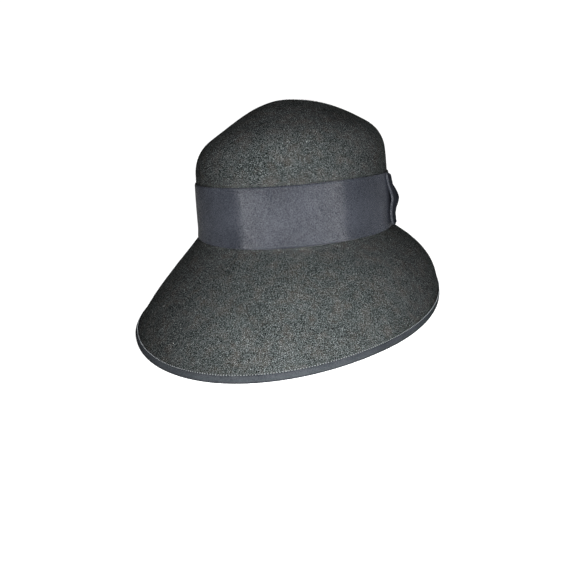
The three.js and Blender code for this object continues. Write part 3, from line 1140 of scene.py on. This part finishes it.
@dataclass
class BrimBinding:
    """The narrow ribbon folded over the brim's edge, with ribs across it and a toothed upper edge."""

    block: HatBlock
    finish: Material
    ribs: Ribs = Ribs(1.3, 0.12, 0.5)
    length: float = 885.0
    leg_rows: int = 3
    edge_face: float = 0.7
    pressed_ribs: float = 0.3
    fold_turns: tuple[float, ...] = (25, 50, 75, 100, 125, 150)
    lining_turns: tuple[float, ...] = (120, 60)

    def pressed(self, ring: np.ndarray, ribs: np.ndarray) -> np.ndarray:
        """Presses a ring flat where it would reach below the rim's plane.

        Args:
            ring: points in the block's millimetres.
            ribs: the ribs' height at each point, at most 0.

        Returns:
            The ring with no point below the plane.
        """
        up = np.array([0.0, -self.block.rim_slope, 1.0])
        up /= np.linalg.norm(up)
        height = (ring[:, 2] - self.block.rim_height(ring[:, 1])) * up[2]
        lift = np.maximum(-height, 0) - np.where(height < 0, self.pressed_ribs * ribs, 0)
        return ring + lift[:, None] * up

    def build(self) -> Object:
        """Builds the binding, in place of its plain solid.

        Returns:
            The binding.
        """
        block = self.block
        phase, angle = self.ribs.around(self.length)
        relief = self.ribs.height(phase)
        out = block.gap + block.ribbon + relief
        level = np.linspace(Level.BINDING_TOP, Level.RIM, self.leg_rows)
        leg = block.skin(angle, level)
        rim = block.skin(angle, np.array([float(Level.RIM)]))
        tooth = self.ribs.tooth(phase)[:, None]

        thin = self.edge_face
        outer = leg.raised(np.repeat(out[None, :], len(level), axis=0))
        outer[0] = leg.points[0] + leg.normals[0] * (block.gap + thin) - leg.down[0] * tooth
        fold = block.edge_rings(rim, block.felt / 2 + out, self.fold_turns)
        fold = np.array([self.pressed(ring, relief) for ring in fold])
        inner = leg.raised(np.repeat(-block.felt - out[None, :], len(level), axis=0))[::-1]
        inner[-1] = leg.points[0] - leg.normals[0] * (block.felt + block.gap + thin) - leg.down[0] * tooth
        lining = leg.raised(-block.felt - block.gap)[[0, -1]]
        lined = block.edge_rings(rim, block.felt / 2 + block.gap, self.lining_turns)
        back = leg.raised(block.gap)[[-1, 0]]
        rings = np.concatenate([outer, fold, inner, lining, lined, back])
        faces = ring_quads(len(rings), len(phase), True).tolist()
        made = make_piece("ribbon_binding", block.placed(rings), faces, Slot.RIBBON, self.finish)
        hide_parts("brim_binding")
        return made


@dataclass
class BindingPicots:
    """The row of small pale thread loops along the binding's upper edge."""

    block: HatBlock
    finish: Material
    count: int = 560
    long: float = 0.42
    wide: float = 0.28
    thick: float = 0.2
    out: float = 0.78
    up: float = 0.28
    corners: int = 6
    ring_height: float = 0.5
    ring_reach: float = 0.85

    def build(self) -> Object:
        """Builds every loop of thread as a small bead, all in one piece.

        Returns:
            The row of loops.
        """
        block = self.block
        angle = np.arange(self.count) * 360.0 / self.count
        edge = block.skin(angle, np.array([float(Level.BINDING_TOP)]))
        middle = edge.points[0] + edge.normals[0] * (block.gap + self.out) - edge.down[0] * self.up
        right = np.cross(edge.normals[0], edge.down[0])
        offsets = [(0.0, 0.0, 1.0)]
        reach = self.ring_reach
        for height in (self.ring_height, -self.ring_height):
            for corner in range(self.corners):
                turn = 2 * math.pi * corner / self.corners
                offsets.append((reach * math.cos(turn), reach * math.sin(turn), height))
        offsets.append((0.0, 0.0, -1.0))
        points = []
        for across, along, height in offsets:
            bead = middle + right * self.wide * across
            bead = bead + edge.down[0] * self.long * along + edge.normals[0] * self.thick * height
            points.append(bead)
        points = np.stack(points, 1)
        one = self.bead_faces()
        size = len(offsets)
        faces = [[corner + size * i for corner in face] for i in range(self.count) for face in one]
        return make_piece("binding_picots", block.placed(points), faces, Slot.RIBBON, self.finish)

    def bead_faces(self) -> list[list[int]]:
        """Faces of one bead: a top point, two rings and a bottom point.

        Returns:
            Corner numbers of each face.
        """
        count = self.corners
        last = 2 * count + 1
        faces = []
        for i in range(count):
            j = (i + 1) % count
            faces.append([0, 1 + j, 1 + i])
            faces.append([1 + i, 1 + j, 1 + count + j, 1 + count + i])
            faces.append([last, 1 + count + i, 1 + count + j])
        return faces


@dataclass
class BowSite:
    """The stretch of band that the bow lies on, as a flat map of it."""

    block: HatBlock
    angle: float = 112.0
    spread: int = 34
    fineness: int = 2
    rows: int = 48
    felt_map: np.ndarray = field(init=False, repr=False)
    normal_map: np.ndarray = field(init=False, repr=False)

    def __post_init__(self) -> None:
        """Maps the felt behind the bow once, as points and normals by height and angle."""
        angle = self.angle - self.spread + np.arange(2 * self.spread * self.fineness + 1) / self.fineness
        levels = slice(Level.BAND_TOP, Level.BAND_FOOT + 1)
        section = self.block.outline(angle)[:, levels][:, ::-1]
        share = np.linspace(0, 1, self.rows)
        felt = []
        for line in section:
            height = line[0, 2] + share * (line[-1, 2] - line[0, 2])
            felt.append(np.stack([np.interp(height, line[:, 2], line[:, k]) for k in range(3)], -1))
        self.felt_map = np.swapaxes(np.array(felt), 0, 1)
        upward = np.gradient(self.felt_map, axis=0)
        right = np.gradient(self.felt_map, axis=1)
        self.normal_map = unit(np.cross(right, upward))

    def points(self, along: np.ndarray, up: np.ndarray, out: np.ndarray) -> np.ndarray:
        """Places points over the band.

        Args:
            along: millimetres from the bow's middle towards the front.
            up: millimetres above the band's lower edge.
            out: millimetres off the band's face.

        Returns:
            Block points, in the arrays' shape by 3.
        """
        block = self.block
        radius = float(block.oval(np.array([self.angle]))[0])
        turned = self.spread - np.degrees(along / radius)
        rise = np.clip(up, 0, block.band_width) / block.band_width * (self.rows - 1)
        # Each place stays short of the map's last row and column, since the reader looks one further
        place = np.clip(turned * self.fineness, 0, self.felt_map.shape[1] - 2)
        rise = np.clip(rise, 0, self.rows - 1.001)
        felt = read_grid(self.felt_map, rise, place)
        normal = unit(read_grid(self.normal_map, rise, place))
        return felt + normal * (block.gap + block.ribbon + out)[..., None]


@dataclass
class BowLoop:
    """One loop of the bow: ribbon folded back on itself and gathered at the knot."""

    site: BowSite
    side: Side
    # The loop's own finish is a darker copy of the ribbon, painted shade; the fold's finish is the band's
    # paler ribbon, a painted highlight
    finish: Material
    lit_fold_finish: Material
    ribs: Ribs = Ribs()
    half_length: float = 36.0
    waist: float = 25.0
    fullness: float = 4.2
    fold_radius: float = 0.9
    notch: float = 6.0
    top_reach: float = 2.0
    curl: float = 2.0
    knot_length: float = 13.0
    across_steps: int = 26
    gathering: float = 1.6
    opening: float = 0.4
    waist_flat: float = 0.35
    corner_flat: float = 0.5
    ridge: float = 1.6
    pleats: float = 0.9
    pleat_count: int = 5
    deepest: float = 0.4
    low_corner: float = 0.4

    def sunk_end(self, across: np.ndarray) -> np.ndarray:
        """How far the fold draws back to the knot, from 0 at its top corner to 1 at its middle.

        Args:
            across: places across the ribbon, from -1 at its lower edge to 1 at its upper.

        Returns:
            The share of the notch's depth at each place.
        """
        above = 0.5 + 0.5 * np.cos(math.pi * np.clip(across, 0, 1))
        below = 1 - self.low_corner * np.sin(math.pi * np.clip(-across, 0, 1))
        return above * below

    def build(self) -> Object:
        """Builds the loop, in place of its plain solid.

        Returns:
            The loop.
        """
        block = self.site.block
        start = self.knot_length / 2 + block.gap
        half = block.ribbon / 2
        low = block.gap + half
        fold = self.fold_radius
        straight = self.half_length + self.top_reach - half - fold - start
        bend = math.pi * fold
        total = 2 * straight + bend
        phase = self.ribs.phases(total)
        phase = np.append(phase, np.ceil(phase[-1]))
        run = phase / phase[-1] * total
        turn = np.clip((run - straight) / bend, 0, 1) * math.pi
        along = start + np.minimum(run, straight) - np.maximum(run - straight - bend, 0)
        across = np.linspace(-1, 1, self.across_steps + 1)
        grid_along, grid_across = np.meshgrid(along, across, indexing="ij")
        grid_turn = np.repeat(turn[:, None], len(across), axis=1)
        gather = 1 - (grid_along - start) / straight
        near_knot = np.clip(gather, 0, 1)
        width = block.band_width + (self.waist - block.band_width) * near_knot**self.gathering
        flattened = self.corner_flat * np.maximum(grid_across, 0) ** 1.5
        opened = smooth_step(np.clip(gather / self.opening, 0, 1))
        puff = fold + (self.fullness / 2 - fold) * opened
        puff = puff * (1 - self.waist_flat * near_knot) * (1 - flattened)
        ridge = self.ridge * gather * np.cos(math.pi * grid_across) * (grid_turn / math.pi)
        wave = np.cos(self.pleat_count * math.pi * grid_across)
        pleat = self.pleats * gather**1.5 * wave * (grid_turn / math.pi)
        sunk = self.sunk_end(grid_across) * np.clip(1 - gather, 0, 1)
        notch = self.notch * sunk
        lift = self.curl * sunk**2
        relief = np.repeat(self.ribs.height(phase)[:, None], len(across), axis=1)
        tooth = np.repeat(self.ribs.tooth(phase)[:, None], len(across), axis=1)
        edge = np.abs(grid_across) == 1
        up = block.band_width / 2 + width / 2 * grid_across + np.where(edge, tooth * grid_across, 0)
        layers = []
        for layer in (half + relief, np.full_like(relief, -half)):
            radius = puff + layer
            out = low + lift + puff - radius * np.cos(grid_turn) + np.maximum(ridge + pleat, -self.deepest)
            reach = grid_along - notch + radius * np.sin(grid_turn)
            layers.append(self.site.points(self.side.value * reach, up, out))
        points = block.placed(np.stack(layers))
        faces = sheet_faces(len(phase), len(across), self.side is Side.BACK)
        name = "bow_loop_" + self.side.name.lower()
        made = make_piece(name, points, faces, Slot.RIBBON, self.finish, self.lit_fold_finish)
        self.paint_fold_highlight(made.data, turn)
        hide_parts("bow_" + self.side.name.lower() + "_loop")
        return made

    def paint_fold_highlight(self, mesh: Mesh, turn: np.ndarray) -> None:
        """Gives the fold's outside the band's paler finish as a painted highlight, since the photograph
        shows a pale line there.

        Args:
            mesh: the loop's mesh, whose outer faces come first, row by row.
            turn: how far the ribbon has turned at each row, in radians.
        """
        rows = np.flatnonzero((turn[:-1] > 0) & (turn[1:] < math.pi))
        picked = rows[:, None] * self.across_steps + np.arange(self.across_steps)
        finish = np.zeros(len(mesh.polygons), dtype=int)
        finish[picked.ravel()] = 1
        mesh.polygons.foreach_set("material_index", finish)


@dataclass
class BowKnot:
    """The short ribbon wrapped round the bow's waist, with its ribs lying along the band."""

    site: BowSite
    finish: Material
    ribs: Ribs = Ribs()
    length: float = 13.0
    height: float = 27.0
    rise: float = 8.5
    offset: float = -2.0
    corners: int = 44
    crease: float = 0.35
    creases: int = 3
    squareness: float = 0.6
    end_length: float = 0.82
    added_length: float = 0.18
    end_depth: float = 0.35
    added_depth: float = 0.65

    def build(self) -> Object:
        """Builds the knot, in place of its plain solid.

        Returns:
            The knot.
        """
        block = self.site.block
        phase = self.ribs.phases(self.height)
        phase = np.append(phase, np.ceil(phase[-1]))[:, None]
        share = 1 - 2 * phase / phase[-1]
        turn = (np.arange(self.corners) * 2 * math.pi / self.corners)[None, :]
        relief = self.ribs.height(phase)
        swell = 1 - np.abs(share) ** 1.5

        def squared(value: np.ndarray) -> np.ndarray:
            """Pushes a sine or cosine out towards a rounded square."""
            return np.sign(value) * np.abs(value) ** self.squareness

        folds = self.crease * np.cos(self.creases * math.pi * np.cos(turn)) * swell
        along = self.length / 2 * (self.end_length + self.added_length * swell) * squared(np.cos(turn))
        deep = (self.rise - block.gap) * (self.end_depth + self.added_depth * swell)
        out = block.gap + deep * (1 + squared(np.sin(turn))) / 2
        out = out + (relief + folds) * np.clip(np.sin(turn), 0, 1)
        up = block.band_width / 2 + self.offset + self.height / 2 * share + 0 * turn
        rings = self.site.points(along + 0 * share, up, out)
        points, faces = closed_tube(rings, np.stack([rings[0].mean(0), rings[-1].mean(0)]))
        made = make_piece("bow_wrap", block.placed(points), faces, Slot.RIBBON, self.finish)
        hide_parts("bow_knot")
        return made


@dataclass
class Studio:
    """The pale floor, the two lights and the camera, in metres, degrees and watts."""

    floor_half: float = 3.6
    floor_front: float = -0.7
    sweep_start: float = 1.6
    sweep_radius: float = 0.7
    sweep_steps: int = 16
    wall_height: float = 3.5
    camera_at: Place = (0.17888, -0.45172, 0.18468)
    camera_aim: Place = (-0.0001, 0.0, 0.0081)
    camera_roll: float = -6.507
    field_of_view: float = 53.235
    nearest: float = 0.01
    light_aim: Place = (0.0, 0.0, 0.06)
    key_offset: Place = (-0.022, 0.115, -0.06)
    key_size: float = 0.07
    key_power: float = 7.0
    overhead_at: Place = (0.0, -0.2, 1.4)
    overhead_size: float = 0.9
    overhead_power: float = 8.0
    ambient: float = 0.16

    def build(self) -> None:
        """Sets the floor, the lights and the camera."""
        self.floor()
        self.world()
        self.lights()
        self.camera()

    def floor(self) -> None:
        """Lays a sheet of paper under the hat that curves up into a wall behind it."""
        line = [(self.floor_front, 0.0)]
        for i in range(self.sweep_steps + 1):
            turn = math.radians(90 * i / self.sweep_steps)
            back = self.sweep_start + self.sweep_radius * math.sin(turn)
            line.append((back, self.sweep_radius * (1 - math.cos(turn))))
        line.append((line[-1][0], self.wall_height))
        corners = []
        for back, up in line:
            corners.append((-self.floor_half, back, up))
            corners.append((self.floor_half, back, up))
        faces = [[2 * i, 2 * i + 1, 2 * i + 3, 2 * i + 2] for i in range(len(line) - 1)]
        made = add_object("floor", smooth_mesh("floor", corners, faces, (FloorFinish().material(),)))

    def world(self) -> None:
        """Sets a plain white surround that lights the hat softly."""
        world = bpy.data.worlds.new("studio")
        world.use_nodes = True
        shade = world.node_tree.nodes["Background"]
        shade.inputs["Color"].default_value = (1, 1, 1, 1)
        shade.inputs["Strength"].default_value = self.ambient
        bpy.context.scene.world = world

    def area_light(self, name: str, place: Vector, aim: Vector, size: float, power: float) -> Object:
        """Hangs one round area light.

        Args:
            name: the light's name.
            place: where it hangs.
            aim: the point that it faces.
            size: its diameter.
            power: its power in watts.

        Returns:
            The light.
        """
        data = bpy.data.lights.new(name, "AREA")
        data.shape = "DISK"
        data.size = size
        data.energy = power
        made = add_object(name, data)
        made.location = place
        made.rotation_euler = (aim - place).to_track_quat("-Z", "Y").to_euler()
        return made

    def lights(self) -> None:
        """Hangs the small key light before the camera, a little lower, and a broad soft one overhead."""
        aim = Vector(self.light_aim)
        key = Vector(self.camera_at) + Vector(self.key_offset)
        self.area_light("key", key, aim, self.key_size, self.key_power)
        overhead = Vector(self.overhead_at)
        self.area_light("overhead", overhead, aim, self.overhead_size, self.overhead_power)

    def camera(self) -> None:
        """Sets the camera where the photograph was taken from."""
        data = bpy.data.cameras.new("camera")
        data.sensor_fit = "HORIZONTAL"
        data.angle = math.radians(self.field_of_view)
        data.clip_start = self.nearest
        made = add_object("camera", data)
        place = Vector(self.camera_at)
        level = (Vector(self.camera_aim) - place).to_track_quat("-Z", "Y")
        roll = Matrix.Rotation(math.radians(self.camera_roll), 3, "Z")
        made.rotation_euler = (level.to_matrix() @ roll).to_euler()
        made.location = place
        bpy.context.scene.camera = made


@dataclass
class Cloche:
    """The whole hat: its shared shape and finishes, and the sub-assemblies that they dress."""

    block: HatBlock = HatBlock()

    def build(self) -> list[Object]:
        """Builds every piece in order.

        Returns:
            The pieces that were made.
        """
        felt = FeltFinish().material()
        ribbon = RibbonFinish().material()
        edging = RibbonFinish("edge_ribbon", (0.0074, 0.0085, 0.0097), (0.016, 0.0176, 0.0195), gloss=0.0)
        # The bow's ribbon is a darker, glossless copy of the band's ribbon: painted shade on the loops and
        # the knot, whose folds keep the band's paler finish as a painted highlight
        bow = RibbonFinish("bow_ribbon_painted_shade", (0.0036, 0.004, 0.0052), (0.0078, 0.0086, 0.0106), gloss=0.0)
        fibre = ThreadFinish("wool_fibre", (0.054, 0.058, 0.057)).material()
        lint = ThreadFinish("pale_lint", (0.3, 0.3, 0.29)).material()
        picot = ThreadFinish("picot_thread", (0.13, 0.138, 0.143)).material()
        shaded = bow.material()
        site = BowSite(self.block)
        makers = [
            FeltShell(self.block, felt),
            NapFibres(self.block, fibre),
            LintSpecks(self.block, lint),
            CrownBand(self.block, ribbon),
            BrimBinding(self.block, edging.material()),
            BindingPicots(self.block, picot),
            BowLoop(site, Side.FRONT, shaded, ribbon),
            BowLoop(site, Side.BACK, shaded, ribbon),
            BowKnot(site, shaded),
        ]
        made = []
        for maker in makers:
            piece = maker.build()
            log.info("%s: %d faces", piece.name, len(piece.data.polygons))
            made.append(piece)
        return made


def main() -> None:
    """Loads the frame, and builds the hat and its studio."""
    logging.basicConfig(level=logging.INFO, format="%(name)s: %(message)s")
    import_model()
    bpy.context.scene.view_settings.view_transform = "Standard"
    Studio().build()
    pieces = Cloche().build()
    log.info("%d pieces in all", len(pieces))


if __name__ == "__main__":
    main()
